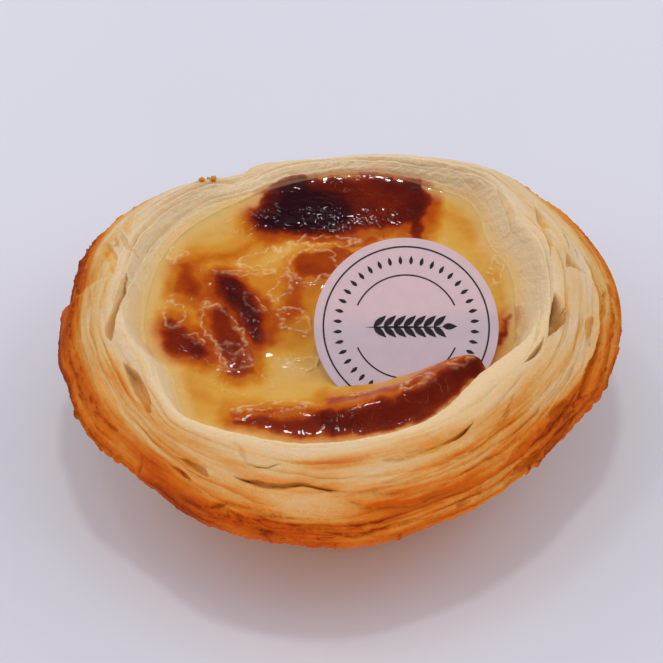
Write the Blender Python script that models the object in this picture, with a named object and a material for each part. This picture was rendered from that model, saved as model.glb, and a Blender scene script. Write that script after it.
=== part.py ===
"""A baked egg tart: a flared puff pastry shell, set custard with browned blisters, and a round paper topper.

Sizes are in millimetres and azimuths in degrees, counted anticlockwise from +X as seen from above.
The shell stands on z = 0, centred on the middle of its flat base, and its front is at -Y.
"""

import math

import bmesh
import bpy
import numpy as np

MM = 0.001
COLLECTION_NAME = "egg_tart"
GAP = 0.35  # clear space kept between neighbouring solids

# Round the shell: each swell is (azimuth, width in azimuth, size).
INNER_RADIUS = 25.6
INNER_SWELLS = [
    (66, 32, 2.5), (49, 10, 1.6), (32, 9, -1.0), (0, 14, -1.0), (150, 22, 1.3), (188, 16, 0.9), (206, 7, -0.9),
    (228, 11, 2.6), (280, 20, -1.5), (320, 20, -2.0),
]
INNER_HEIGHT = 20.3  # where the rim meets the custard
INNER_HEIGHT_SWELLS = [(92, 46, 1.0), (310, 30, 0.6)]
OUTER_RADIUS = 38.0
OUTER_SWELLS = [
    (18, 33, 2.7), (24, 10, -0.6), (56, 12, -0.6), (76, 14, -0.6), (104, 24, -2.3), (151, 13, 1.4), (204, 12, 0.7),
    (221, 6, -1.0), (231, 6, -0.9), (252, 12, 0.3), (312, 34, -2.3), (331, 5, -1.4), (342, 6, 1.2),
]
OUTER_WAVES = [(7, 0.15, 20), (13, 0.12, 130)]  # (waves round the rim, size, azimuth)
EDGE_FLAPS = [(173, 196, 0.9), (112.5, 129, -1.2)]  # torn flaps of the outer edge: from azimuth, to azimuth, size
OUTER_HEIGHT = 16.4
OUTER_HEIGHT_SWELLS = [(32, 34, 2.2), (95, 26, -0.6), (152, 24, 0.6), (232, 10, -0.6), (295, 40, -0.6)]
CREST_HEIGHT = 24.0
CREST_SWELLS = [(26, 34, 0.5), (74, 16, -0.6), (98, 34, -1.7), (118, 8, -1.2), (146, 24, -0.6), (205, 25, 0.3),
                (322, 22, 0.5)]
CREST_SHARE = 0.25  # share of the rim's width from the custard to its highest line
CREST_SHARE_SWELLS = [(268, 24, -0.03), (324, 29, -0.19), (132, 36, 0.2), (52, 22, 0.1), (2, 26, 0.14)]
FALL_POWER = 1.75  # how the rim rounds over from its crest to the outer edge
FALL_POWER_SWELLS = [(98, 44, -0.5)]

# The leaves of the pastry part along grooves, at these shares of the rim's width.
GROOVES = [0.18, 0.30, 0.41, 0.52, 0.64, 0.77, 0.89]
SPIRAL = 0.16  # how far the grooves wander across the rim in one turn
SPIRAL_AZIMUTH = 203
LEAF_WANDER = 0.05  # and how far each strays from its neighbours
GROOVE_DEPTH = 0.6
GROOVE_HALF_WIDTH = 0.26
LEAF_LIFT = 0.22  # how far a leaf's free edge stands up
LEAF_STEEPEST, LEAF_FLATTEST = 88, 43  # a leaf's angle above the horizontal, from the custard outwards
LEAF_WAVES = [(5, 0.35, 40), (8, 0.25, 200), (13, 0.2, 310)]  # (waves round the rim, size, azimuth)
# Where leaves have come apart: (groove, azimuth, width in azimuth, depth, half width of the mouth).
SLITS = [
    (2, 181, 12, 3.6, 0.75),
    (3, 213, 10, 3.6, 0.8),
    (4, 236, 6, 2.6, 0.6),
    (3, 240, 6, 3.0, 0.7),
    (3, 262, 13, 4.2, 1.0),
    (1, 302, 7, 2.6, 0.55),
    (1, 337, 8, 2.6, 0.6),
    (2, 351, 8, 3.6, 0.9),
    (4, 21, 8, 2.4, 0.5),
    (6, 186, 28, 1.6, 1.1),
    (6, 345, 34, 1.8, 0.5),
    (5, 318, 16, 1.6, 0.5),
    (2, 40, 14, 1.6, 0.5),
    (5, 145, 16, 1.8, 0.6),
    (5, 285, 16, 1.5, 0.6),
]

# Where leaves are baked together, so that their groove closes: (groove, azimuth, width in azimuth).
CLOSED = [(4, 270, 26), (5, 258, 16), (1, 262, 14), (0, 285, 30), (1, 200, 16), (0, 175, 40), (0, 20, 40), (4, 205, 12),
          (3, 320, 14), (5, 15, 14), (1, 80, 30), (4, 350, 12), (2, 130, 16)]

# Below the rim the shell narrows to its base, as the baking tin does.
EDGE_THICKNESS = 1.5
WALL = [(0.84, 34.0), (0.62, 31.4), (0.42, 29.0), (0.24, 27.0), (0.09, 25.5), (0.02, 24.7)]  # (share of height, radius)
WALL_STEP = 0.22  # the laminations show on the wall as low steps
BASE_RADIUS = 23.9
FLOOR_HEIGHT, FLOOR_RADIUS = 3.6, 20.4  # of the hollow that the custard fills
HOLLOW_STEPS = 3

# The custard's skin: a level, then blisters (x, y, length, width, turn, height).
CUSTARD_LEVEL = 19.3
EDGE_DROP = 0.3  # from where the rim starts to the custard's edge
EDGE_CLIMB = 3.2  # how far from the shell the custard starts to climb it
BLISTERS = [
    (1.5, 21.5, 11.0, 4.4, 0, 1.9),
    (-20.3, 6.5, 3.4, 4.0, 20, 1.0),
    (-12.8, 1.5, 8.2, 3.0, -62, 1.5),
    (-20.6, -6.4, 3.8, 4.2, 30, 1.3),
    (-15.0, -5.0, 7.5, 2.6, -62, 0.9),
    (-3.0, 9.0, 5.0, 5.2, 30, 1.5),
    (-5.5, -0.5, 4.6, 3.4, -30, 0.9),
    (17.0, 12.0, 7.0, 4.5, -40, 0.6),
    (8.0, 4.0, 8.0, 6.0, 0, 1.0),
    (-10.0, -13.0, 7.0, 4.0, 10, -0.7),
]
# The browned fold along the front: its crest's points (x, y, height over the level) and its half width.
FOLD = [(-15, -17.6, 0.7), (-9, -18.8, 1.8), (-3, -19.2, 2.1), (0, -18.6, 1.6), (3, -18.6, 2.6), (9, -16.6, 3.2),
        (14.5, -13.2, 3.4), (18.6, -9.8, 3.1), (21.6, -5.8, 2.4), (23.0, -2.0, 1.6), (22.6, 1.5, 0.7)]
FOLD_HALF_WIDTH = 3.3

# The paper topper stands tilted, its near edge tucked under the fold.
TOPPER_RADIUS = 12.5
TOPPER_THICKNESS = 0.5
TOPPER_CENTRE = (9.4, -5.8, 23.5)
TOPPER_TILT = 30
TOPPER_SEGMENTS = 72

SHELL_SEGMENTS = 112
CUSTARD_SEGMENTS = 84
CUSTARD_RINGS = 15

MATERIALS = {
    # name: (colour, roughness)
    "puff_pastry": ((0.74, 0.44, 0.17), 0.62),
    "custard": ((0.78, 0.42, 0.07), 0.25),
    "paper_topper": ((0.78, 0.68, 0.74), 0.6),
}


def swell(theta, azimuth, width):
    """1 at the azimuth, falling smoothly to 0 on both sides of it."""
    away = (np.degrees(theta) - azimuth + 180) % 360 - 180
    return np.exp(-((away / width) ** 2))


def swollen(theta, level, swells):
    return level + sum(size * swell(theta, azimuth, width) for azimuth, width, size in swells)


def inner_radius(theta):
    return swollen(theta, INNER_RADIUS, INNER_SWELLS)


def inner_height(theta):
    return swollen(theta, INNER_HEIGHT, INNER_HEIGHT_SWELLS)


def waves(theta, shape, shift=1):
    """A sum of sines round the rim."""
    return sum(size * np.sin(count * theta + math.radians(azimuth * shift)) for count, size, azimuth in shape)


def ease(value, low, high):
    """0 below low, 1 above high, smooth between."""
    t = np.clip((value - low) / (high - low), 0, 1)
    return t * t * (3 - 2 * t)


def outer_radius(theta):
    azimuth = np.degrees(theta) % 360
    radius = swollen(theta, OUTER_RADIUS, OUTER_SWELLS) + waves(theta, OUTER_WAVES)
    for start, end, size in EDGE_FLAPS:
        radius = radius + size * ease(azimuth, start, start + 1.5) * (1 - ease(azimuth, end - 8, end))
    return radius


def outer_height(theta):
    return swollen(theta, OUTER_HEIGHT, OUTER_HEIGHT_SWELLS)


def rim_point(theta, share):
    """Radius and height on the rounded rim, at a share of its width from the custard's edge to the outer edge."""
    inner, outer = inner_radius(theta), outer_radius(theta)
    low, crest, edge = inner_height(theta), swollen(theta, CREST_HEIGHT, CREST_SWELLS), outer_height(theta)
    crest_share = swollen(theta, CREST_SHARE, CREST_SHARE_SWELLS)
    rise = ease(share, 0, crest_share)
    beyond = np.clip((share - crest_share) / (1 - crest_share), 0, 1)
    fall = beyond ** swollen(theta, FALL_POWER, FALL_POWER_SWELLS)
    return inner + (outer - inner) * share, low + (crest - low) * rise - (crest - edge) * fall


def leaf_direction(share):
    """The way a leaf points at this share of the rim, as (outwards, upwards)."""
    angle = np.radians(LEAF_STEEPEST + (LEAF_FLATTEST - LEAF_STEEPEST) * share)
    return np.cos(angle), np.sin(angle)


def groove(theta, index):
    """Share, depth, half width and lift of one groove round the rim."""
    start = GROOVES[index]
    turn = theta - math.radians(SPIRAL_AZIMUTH)
    wander = SPIRAL * np.sin(turn) + LEAF_WANDER * np.sin(3 * theta + 2.4 * index) * np.sin(theta - 1.7 * index)
    share = start + wander * 4 * start * (1 - start)
    parted = 1 + waves(theta, LEAF_WAVES, index + 1)
    for closed_groove, azimuth, width in CLOSED:
        if closed_groove == index:
            parted = parted * (1 - swell(theta, azimuth, width))
    depth, lift = GROOVE_DEPTH * parted, LEAF_LIFT * parted
    half_width = np.full_like(theta, GROOVE_HALF_WIDTH)
    for slit_groove, azimuth, width, slit_depth, slit_half_width in SLITS:
        if slit_groove == index:
            open_here = swell(theta, azimuth, width)
            depth = depth + (slit_depth - GROOVE_DEPTH) * open_here
            half_width = half_width + (slit_half_width - GROOVE_HALF_WIDTH) * open_here
    return share, depth, half_width, lift


def rim_lines(theta):
    """The rim's lines from the custard outwards: each leaf's two free edges, with the groove's bottom between them."""
    width = outer_radius(theta) - inner_radius(theta)
    lines = [rim_point(theta, np.full_like(theta, share)) for share in (0.0, 0.09)]
    for index in range(len(GROOVES)):
        share, depth, half_width, lift = groove(theta, index)
        out, up = leaf_direction(share)
        for side in (-1, 0, 1):
            radius, height = rim_point(theta, share + side * half_width / width)
            along = -depth if side == 0 else lift
            lines.append((radius + along * out, height + along * up))
    return lines


def wall_lines(theta):
    """The shell's outer side, from the rim's edge down to the flat base."""
    edge_radius, edge_height = outer_radius(theta), outer_height(theta)
    lines = [
        (edge_radius, edge_height),
        (edge_radius - 0.2 * EDGE_THICKNESS, edge_height - 0.8 * EDGE_THICKNESS),
    ]
    for step, (share, radius) in enumerate(WALL):
        follow = (edge_radius - OUTER_RADIUS) * share ** 2
        lamination = WALL_STEP * (-1) ** step * np.cos(3 * theta + step)
        lines.append((radius + follow + lamination, edge_height * share))
    lines.append((np.full_like(theta, BASE_RADIUS), np.zeros_like(theta)))
    return lines


def hollow_radius(theta, height):
    """Radius of the hollow in the shell at a height."""
    share = (height - FLOOR_HEIGHT) / (inner_height(theta) - FLOOR_HEIGHT)
    return FLOOR_RADIUS + (inner_radius(theta) - FLOOR_RADIUS) * share


def hollow_lines(theta, shrink=0.0):
    """The hollow's floor edge and side, below the rim. The custard follows them, shrunk by the gap."""
    lines = [(np.full_like(theta, 0.55 * FLOOR_RADIUS - shrink), np.full_like(theta, FLOOR_HEIGHT + shrink))]
    for step in range(HOLLOW_STEPS):
        height = FLOOR_HEIGHT + shrink + (inner_height(theta) - FLOOR_HEIGHT) * step / HOLLOW_STEPS
        lines.append((hollow_radius(theta, height) - shrink, height))
    return lines


def fold_height(x, y):
    """Height that the browned fold adds to the custard's level: the highest of its stretches at each point."""
    height = np.zeros_like(x)
    for (x0, y0, h0), (x1, y1, h1) in zip(FOLD, FOLD[1:]):
        along = np.clip(((x - x0) * (x1 - x0) + (y - y0) * (y1 - y0)) / ((x1 - x0) ** 2 + (y1 - y0) ** 2), 0, 1)
        away = np.hypot(x - x0 - along * (x1 - x0), y - y0 - along * (y1 - y0))
        height = np.maximum(height, (h0 + (h1 - h0) * along) * np.exp(-((away / FOLD_HALF_WIDTH) ** 2)))
    return height


def custard_height(x, y):
    """The custard's skin at a point."""
    theta, radius = np.arctan2(y, x), np.hypot(x, y)
    climb = np.exp(-np.clip(inner_radius(theta) - radius, 0, None) / EDGE_CLIMB)
    height = CUSTARD_LEVEL + (inner_height(theta) - EDGE_DROP - CUSTARD_LEVEL) * climb
    for x0, y0, length, width, turn, rise in BLISTERS:
        c, s = math.cos(math.radians(turn)), math.sin(math.radians(turn))
        u, v = (x - x0) * c + (y - y0) * s, (y - y0) * c - (x - x0) * s
        height = height + (1 - climb) * rise * np.exp(-((u / length) ** 2) - (v / width) ** 2)
    return height + (1 - climb) * fold_height(x, y)


def custard_lines(theta):
    """The custard from the middle of its underside, up its side and in over its skin to the middle."""
    lines = hollow_lines(theta, GAP)
    edge = hollow_radius(theta, inner_height(theta) - EDGE_DROP) - GAP
    for ring in range(CUSTARD_RINGS):
        radius = edge * (1 - ring / CUSTARD_RINGS)
        lines.append((radius, custard_height(radius * np.cos(theta), radius * np.sin(theta))))
    return lines


def azimuths(count):
    return np.arange(count) * 2 * math.pi / count


def loft(name, lines, theta, first_height, last_height):
    """A closed solid through rings of points, closed at the axis at both ends. Its lines run from inside the solid's
    first pole to its last one."""
    rings = [
        [(r * math.cos(t) * MM, r * math.sin(t) * MM, z * MM) for r, z, t in zip(radius, height, theta)]
        for radius, height in lines
    ]
    count = len(theta)
    points = [(0, 0, first_height * MM)] + [point for ring in rings for point in ring] + [(0, 0, last_height * MM)]
    last = len(points) - 1
    faces = []
    for i in range(count):
        j = (i + 1) % count
        faces.append((0, 1 + i, 1 + j))
        for ring in range(len(rings) - 1):
            here, there = 1 + ring * count, 1 + (ring + 1) * count
            faces.append((here + i, there + i, there + j, here + j))
        top = 1 + (len(rings) - 1) * count
        faces.append((last, top + j, top + i))
    mesh = bpy.data.meshes.new(name)
    mesh.from_pydata(points, [], faces)
    bm = bmesh.new()
    bm.from_mesh(mesh)
    bmesh.ops.recalc_face_normals(bm, faces=bm.faces)
    bm.to_mesh(mesh)
    bm.free()
    return bpy.data.objects.new(name, mesh)


def disc(name, radius, thickness):
    """A round plate at the topper's place and tilt."""
    mesh = bpy.data.meshes.new(name)
    bm = bmesh.new()
    bmesh.ops.create_cone(
        bm, cap_ends=True, segments=TOPPER_SEGMENTS, radius1=radius * MM, radius2=radius * MM, depth=thickness * MM
    )
    bm.to_mesh(mesh)
    bm.free()
    plate = bpy.data.objects.new(name, mesh)
    plate.location = [c * MM for c in TOPPER_CENTRE]
    plate.rotation_euler = (math.radians(TOPPER_TILT), 0, 0)
    return plate


def make_shell():
    theta = azimuths(SHELL_SEGMENTS)
    lines = hollow_lines(theta) + rim_lines(theta) + wall_lines(theta)
    return loft("pastry_shell", lines, theta, FLOOR_HEIGHT, 0)


def make_custard(cutters):
    """The custard, with a slot that clears the tucked edge of the topper."""
    theta = azimuths(CUSTARD_SEGMENTS)
    top = float(custard_height(np.zeros(1), np.zeros(1))[0])
    filling = loft("custard", custard_lines(theta), theta, FLOOR_HEIGHT + GAP, top)
    slot = disc("topper_slot", TOPPER_RADIUS + GAP, TOPPER_THICKNESS + 2 * GAP)
    slot.hide_render = True
    slot.display_type = "WIRE"
    cutters.objects.link(slot)
    cut = filling.modifiers.new("topper_slot", "BOOLEAN")
    cut.operation = "DIFFERENCE"
    cut.object = slot
    return filling


def make_topper():
    return disc("paper_topper", TOPPER_RADIUS, TOPPER_THICKNESS)


def give_material(obj, name):
    colour, roughness = MATERIALS[name]
    material = bpy.data.materials.new(name)
    material.use_nodes = True
    shader = material.node_tree.nodes["Principled BSDF"]
    shader.inputs["Base Color"].default_value = (*colour, 1)
    shader.inputs["Roughness"].default_value = roughness
    shader.inputs["Metallic"].default_value = 0
    obj.data.materials.append(material)


def smooth(obj, sharp_above):
    obj.data.shade_smooth()
    obj.data.set_sharp_from_angle(angle=math.radians(sharp_above))


def main():
    for obj in list(bpy.data.objects):
        bpy.data.objects.remove(obj, do_unlink=True)
    parts = bpy.data.collections.new(COLLECTION_NAME)
    cutters = bpy.data.collections.new("cutters")
    for collection in (parts, cutters):
        bpy.context.scene.collection.children.link(collection)
    made = {
        "puff_pastry": make_shell(),
        "custard": make_custard(cutters),
        "paper_topper": make_topper(),
    }
    for material, obj in made.items():
        parts.objects.link(obj)
        give_material(obj, material)
        smooth(obj, sharp_above=50)


main()
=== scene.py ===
"""An egg tart on a pale table: puff pastry, browned custard and a paper topper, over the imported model.

Sizes are in millimetres and azimuths in degrees, anticlockwise from +X as seen from above. A share is a
place across the rim, 0 at the custard and 1 at the outer edge. The shell and the custard follow the same
named values as the solids, drawn finer and with the small relief added.
"""

import itertools
import math

import bmesh
import bpy
import numpy as np
from mathutils import Matrix, Vector


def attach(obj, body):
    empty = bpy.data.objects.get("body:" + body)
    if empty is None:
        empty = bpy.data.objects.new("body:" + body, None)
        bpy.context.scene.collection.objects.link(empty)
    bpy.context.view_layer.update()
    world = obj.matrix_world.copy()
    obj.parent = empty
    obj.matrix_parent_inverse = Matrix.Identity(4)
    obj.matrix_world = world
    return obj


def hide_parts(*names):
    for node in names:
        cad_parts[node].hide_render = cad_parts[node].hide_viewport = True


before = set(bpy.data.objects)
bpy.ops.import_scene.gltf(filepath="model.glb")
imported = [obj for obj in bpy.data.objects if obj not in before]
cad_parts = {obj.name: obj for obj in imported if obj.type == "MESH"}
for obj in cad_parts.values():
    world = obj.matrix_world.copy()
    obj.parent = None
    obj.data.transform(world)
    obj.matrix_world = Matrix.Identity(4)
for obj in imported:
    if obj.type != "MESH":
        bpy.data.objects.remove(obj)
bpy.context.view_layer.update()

MM = 0.001
FAR = 99.0  # further than any distance on the tart

# Round the shell: each swell is (azimuth, width in azimuth, size).
INNER_RADIUS = 25.6
INNER_SWELLS = [
    (66, 32, 2.5), (49, 10, 1.6), (32, 9, -1.0), (0, 14, -1.0), (150, 22, 1.3),
    (188, 16, 0.9), (206, 7, -0.9), (228, 11, 2.6), (280, 20, -1.5), (320, 20, -2.0),
]
INNER_HEIGHT = 20.3  # where the rim meets the custard
INNER_HEIGHT_SWELLS = [(92, 46, 1.0), (310, 30, 0.6)]
OUTER_RADIUS = 37.7
OUTER_SWELLS = [
    (18, 33, 2.7), (24, 10, -0.6), (56, 12, -0.6), (76, 14, -0.6), (104, 24, -2.3), (151, 13, 1.4),
    (204, 12, 0.7), (221, 6, -1.0), (231, 6, -0.9), (252, 12, 0.3), (312, 34, -2.3), (331, 9, -0.5),
    (343, 8, 0.5),
]
OUTER_WAVES = [(7, 0.15, 20), (13, 0.12, 130)]  # (waves round the rim, size, azimuth)
EDGE_FLAPS = [(173, 196, 0.9), (112.5, 129, -1.2)]  # torn flaps of the edge: from azimuth, to azimuth, size
OUTER_HEIGHT = 16.4
OUTER_HEIGHT_SWELLS = [(32, 34, 2.2), (95, 26, -0.6), (152, 24, 0.6), (232, 10, -0.6), (295, 40, -0.6)]
CREST_HEIGHT = 24.0
CREST_SWELLS = [
    (26, 34, 0.5), (74, 16, -0.6), (98, 34, -1.7), (118, 8, -1.2), (146, 24, -0.6), (205, 25, 0.3),
    (322, 22, 0.5),
]
CREST_SHARE = 0.25  # share of the rim's width from the custard to its highest line
CREST_SHARE_SWELLS = [(268, 24, -0.03), (324, 29, -0.19), (132, 36, 0.2), (52, 22, 0.1), (2, 26, 0.14)]
FALL_POWER = 1.75  # how the rim rounds over from its crest to the outer edge
FALL_POWER_SWELLS = [(98, 44, -0.5)]

# The leaves of the pastry part along grooves, at these shares of the rim's width.
GROOVES = [0.18, 0.30, 0.41, 0.52, 0.64, 0.77, 0.89]
SPIRAL = 0.16  # how far the grooves wander across the rim in one turn
SPIRAL_AZIMUTH = 203
LEAF_WANDER = 0.05  # and how far each strays from its neighbours
GROOVE_DEPTH = 0.42
GROOVE_HALF_WIDTH = 0.2
LEAF_LIFT = 0.2  # how far a leaf's free edge stands up
LEAF_NARROWEST = 0.035
LEAF_STEEPEST, LEAF_FLATTEST = 88, 43  # a leaf's angle above the horizontal, from the custard outwards
LEAF_WAVES = [(5, 0.35, 40), (8, 0.25, 200), (13, 0.2, 310)]  # (waves round the rim, size, azimuth)
# Where leaves have come apart or creased: depth, half width, how gently the outer side rises (in half
# widths), and the line's points as (azimuth, share). The inner leaf's edge stands over the gap.
SLITS = [
    (0.9, 0.50, 1.0, [(198, 0.65), (203, 0.70), (209, 0.70), (217, 0.75)]),
    (1.3, 0.70, 0.8, [(158, 0.72), (166, 0.48), (172, 0.42)]),
    (0.5, 0.30, 1.0, [(169, 0.69), (179, 0.61), (189, 0.58), (197, 0.63)]),
    (0.9, 0.20, 0.3, [(211, 0.84), (216, 0.82)]),
    (1.0, 0.35, 1.2, [(246, 0.83), (254, 0.83), (262, 0.85)]),
    (0.9, 0.30, 1.0, [(248, 0.88), (253, 0.93), (256, 0.97)]),
    (0.9, 0.20, 0.3, [(243, 0.91), (247, 0.83)]),
    (0.8, 0.30, 1.0, [(229, 0.89), (234, 0.93), (240, 0.92)]),
    (0.9, 0.25, 0.4, [(224, 0.84), (225, 0.98)]),
    (0.7, 0.40, 1.2, [(225, 0.79), (232, 0.84), (241, 0.84)]),
    (0.5, 0.30, 1.0, [(243, 0.33), (246, 0.40), (249, 0.52)]),
    (0.9, 0.30, 0.8, [(289, 0.47), (294, 0.46), (300, 0.45)]),
    (0.8, 0.30, 1.0, [(281, 0.45), (286, 0.48), (293, 0.47)]),
    (0.9, 0.40, 1.2, [(280, 0.64), (290, 0.65), (299, 0.63)]),
    (0.8, 0.30, 1.0, [(277, 0.68), (286, 0.76), (297, 0.77)]),
    (1.3, 0.40, 1.2, [(272, 0.71), (277, 0.79), (287, 0.84), (298, 0.83), (309, 0.88)]),
    (0.9, 0.40, 1.2, [(298, 0.62), (307, 0.65), (315, 0.58), (324, 0.44)]),
    (0.9, 0.45, 1.0, [(306, 0.74), (311, 0.78), (317, 0.74)]),
    (1.0, 0.40, 1.0, [(311, 0.87), (321, 0.83)]),
    (1.1, 0.30, 0.8, [(311, 0.95), (322, 0.95)]),
    (0.9, 0.35, 0.8, [(296, 0.96), (301, 0.91), (306, 0.85)]),
    (0.6, 0.25, 0.8, [(267, 0.92), (274, 0.95), (283, 0.92)]),
    (0.8, 0.35, 1.2, [(43, 0.30), (34, 0.28), (27, 0.18)]),
    (1.4, 0.25, 0.3, [(23, 0.63), (15, 0.55)]),
    (1.0, 0.20, 0.3, [(18, 0.62), (13, 0.63)]),
    (2.0, 0.35, 0.4, [(15, 0.71), (6, 0.75), (3, 0.79)]),
    (2.0, 0.30, 0.4, [(4, 0.78), (-3, 0.81), (-11, 0.83)]),
    (1.3, 0.22, 0.3, [(6, 0.83), (-1, 0.83)]),
    (1.3, 0.35, 0.4, [(-3, 0.72), (-6, 0.70), (-11, 0.74)]),
    (1.8, 0.35, 0.4, [(-9, 0.83), (-17, 0.83), (-24, 0.89)]),
    (1.1, 0.25, 0.4, [(-24, 0.88), (-27, 0.93)]),
    (1.4, 0.30, 0.4, [(-26, 0.82), (-33, 0.82)]),
    (0.6, 0.25, 1.0, [(-8, 0.19), (-19, 0.27)]),
    (0.6, 0.35, 1.2, [(53, 0.18), (43, 0.14)]),
    (1.1, 0.60, 0.8, [(146, 0.70), (157, 0.41)]),
    (0.7, 0.30, 0.8, [(155, 0.56), (162, 0.33), (163, 0.15)]),
    (0.7, 0.20, 0.3, [(158, 0.56), (162, 0.45)]),
]
SLIT_FILLED = 0.68  # how much of a slit's depth is left once the leaves have slumped into it
LIP_HIGHEST = 0.34  # how far the leaf's edge beside a slit stands up at most
# Openings between leaves: depth, how softly the sides fall, and the outline's points as (azimuth, share).
HOLES = [
    (3.6, 0.25, [(0, 0.355), (-2.5, 0.405), (-7.5, 0.475), (-10, 0.44), (-15, 0.365), (-11.5, 0.33),
                 (-6.5, 0.335), (-3, 0.34)]),
    (2.0, 0.4, [(203.2, 0.455), (207.2, 0.48), (210.8, 0.495), (216.2, 0.51), (220, 0.535),
                (220.8, 0.495), (218, 0.425), (214.2, 0.385), (208, 0.40)]),
    (1.8, 0.4, [(171.2, 0.265), (175, 0.285), (178.2, 0.29), (185, 0.345), (191.2, 0.45), (193, 0.47),
                (195, 0.445), (191, 0.35), (185.8, 0.27), (181, 0.23), (178, 0.205), (174, 0.225)]),
    (1.6, 0.3, [(232, 0.69), (234, 0.65), (236.5, 0.63), (239.3, 0.645), (241, 0.71), (239, 0.71),
                (236, 0.71)]),
    (1.3, 0.3, [(230.8, 0.785), (233.2, 0.755), (235, 0.76), (237, 0.795), (234.5, 0.80)]),
    (1.9, 0.5, [(246.5, 0.635), (249.3, 0.60), (251.8, 0.57), (254.2, 0.575), (257, 0.565),
                (261.5, 0.545), (264.2, 0.565), (267.2, 0.60), (271, 0.64), (268.5, 0.66),
                (265.8, 0.65), (261.8, 0.64), (257.5, 0.665), (254.7, 0.68), (252.8, 0.68),
                (250.8, 0.67), (248.3, 0.66)]),
    (1.7, 0.25, [(296.5, 0.45), (301.5, 0.445), (304.8, 0.425), (308, 0.42), (305, 0.46), (302, 0.475),
                 (299, 0.465)]),
    (1.8, 0.4, [(-16, 0.325), (-20, 0.36), (-23, 0.36), (-26, 0.335), (-27.5, 0.31), (-24, 0.31),
                (-20, 0.315)]),
    (1.1, 0.3, [(249, 0.515), (250.8, 0.495), (253.3, 0.49), (256, 0.45), (254.2, 0.505), (251.2, 0.53)]),
    (1.3, 0.4, [(14.5, 0.51), (11.8, 0.56), (8.5, 0.67), (9.2, 0.60), (9.6, 0.53), (9, 0.465)]),
    (1.1, 0.8, [(33, 0.56), (28.8, 0.575), (22.5, 0.49), (17.5, 0.43), (12, 0.335), (17.5, 0.355),
                (22.5, 0.39), (27, 0.44)]),
]
# Where leaves are baked together, so that their groove closes: (groove, azimuth, width in azimuth).
CLOSED = [
    (0, 20, 40), (0, 175, 40), (0, 285, 30),
    (1, 80, 30), (1, 188, 14), (1, 200, 16), (1, 262, 14),
    (2, 130, 16), (2, 205, 18),
    (3, 188, 8), (3, 210, 16), (3, 320, 14),
    (4, 187, 10), (4, 205, 12), (4, 270, 26), (4, 350, 12),
    (5, 15, 14), (5, 258, 16),
]

# Below the rim the shell narrows to its base, as the baking tin does.
EDGE_THICKNESS = 1.5
WALL_TOP = 0.86  # share of the edge's height
# Points of its side as (share of the edge's height, radius).
WALL = [(0.84, 34.0), (0.62, 31.4), (0.42, 29.0), (0.24, 27.0), (0.09, 25.5), (0.02, 24.7)]
BASE_RADIUS = 23.9
FLOOR_HEIGHT, FLOOR_RADIUS = 3.6, 20.4  # of the hollow that the custard fills

# Where the rim is browned more or less than its place says: (azimuth, width, share, width, amount).
TOAST_SPOTS = [
    (186, 30, 0.86, 0.2, 0.26), (191, 9, 1.0, 0.05, 0.3), (150, 26, 0.95, 0.2, 0.12),
    (228, 14, 0.95, 0.3, 0.12), (252, 16, 1.0, 0.2, 0.1), (292, 14, 0.36, 0.1, 0.34),
    (312, 16, 0.62, 0.14, 0.22), (270, 9, 0.41, 0.07, 0.3), (262, 9, 0.72, 0.06, -0.2),
    (277, 10, 0.70, 0.08, 0.25), (291, 12, 0.80, 0.08, 0.2), (244, 12, 0.92, 0.1, 0.12),
    (267, 10, 0.82, 0.05, -0.2), (95, 40, 0.8, 0.5, -0.3), (60, 26, 0.6, 0.4, -0.2),
    (10, 20, 0.6, 0.3, -0.1), (330, 20, 0.9, 0.12, 0.1),
]
FILM_SWELLS = [(176, 22, 0.07), (100, 40, 0.05), (35, 40, 0.06), (275, 45, -0.08)]  # of custard on the lip
FLAKE_COUNT = 17  # thin overlapping leaves across the rim
CRUMBS = [(128.6, 0.46, 0.40), (125.6, 0.44, 0.44), (126.3, 0.50, 0.26)]  # azimuth, share, radius

# The custard's skin: a level, then blisters (x, y, length, width, turn, height).
CUSTARD_LEVEL = 19.3
CUSTARD_GAP = 0.35  # between the custard's body and the hollow
EDGE_CLIMB = 3.2  # how far from the shell the custard starts to climb it
BLISTERS = [
    (1.5, 21.5, 11.0, 4.4, 0, 1.9),
    (-20.3, 6.5, 3.4, 4.0, 20, 1.0),
    (-12.8, 1.5, 8.2, 3.0, -62, 1.5),
    (-20.6, -6.4, 3.8, 4.2, 30, 1.3),
    (-15.0, -5.0, 7.5, 2.6, -62, 0.9),
    (-3.0, 9.0, 5.0, 5.2, 30, 1.5),
    (-5.5, -0.5, 4.6, 3.4, -30, 0.9),
    (17.0, 12.0, 7.0, 4.5, -40, 0.6),
    (8.0, 4.0, 8.0, 6.0, 0, 1.0),
    (-10.0, -13.0, 7.0, 4.0, 10, -0.7),
]
# The browned fold along the front: its crest's points (x, y, height) and its two half widths.
FOLD = [
    (-15, -17.6, 0.7), (-9, -18.8, 1.8), (-3, -19.2, 2.1), (0, -18.6, 1.6), (3, -18.6, 2.6),
    (9, -16.6, 3.2), (14.5, -13.2, 3.4), (18.6, -9.8, 3.1), (21.6, -5.8, 2.4), (23.0, -2.0, 1.6),
    (22.6, 1.5, 0.7),
]
FOLD_FRONT, FOLD_BACK = 2.7, 3.6
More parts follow.
